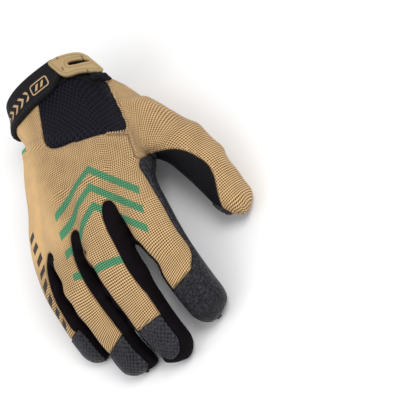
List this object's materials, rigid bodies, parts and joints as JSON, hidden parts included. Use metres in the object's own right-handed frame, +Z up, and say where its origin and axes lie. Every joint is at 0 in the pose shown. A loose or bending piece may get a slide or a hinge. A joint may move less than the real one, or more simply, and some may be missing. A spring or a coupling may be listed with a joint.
{
  "type": "puncture-resistant work glove",
  "caption": "Right-hand protective work glove with a knit back, mesh wrist, grained fingertip guards, black grip palm, and an elastic cuff with a strap and rubber pull tab.",
  "frame": {"origin": "on the flat under the heel of the palm, at the surface that the glove lies on, with the floor at Z = 0", "axes": "+Z up, out of the back of the hand; -Y along the fingers from the cuff to the tips; +X towards the thumb"},
  "size_m": [0.1379, 0.193, 0.0557],
  "materials": {
    "knit": "matte",
    "mesh": "matte",
    "grip": "matte",
    "side_fabric": "matte",
    "grained_leather": "satin",
    "cuff_fabric": "matte",
    "strap_webbing": "matte",
    "tab_rubber": "satin"
  },
  "bodies": {
    "root": {"back_panel": "knit", "wrist_mesh": "mesh", "thumb_back": "knit", "thumb_inner": "grip", "palm_panel": "grip", "fourchette_index_middle": "side_fabric", "fourchette_middle_ring": "side_fabric", "fourchette_ring_pinky": "side_fabric", "index_guard": "grained_leather", "middle_cap": "grained_leather", "ring_cap": "grained_leather", "pinky_cap": "grained_leather", "cuff_band": "cuff_fabric", "wrist_strap": "strap_webbing", "pull_tab": "tab_rubber"}
  },
  "joints": []
}
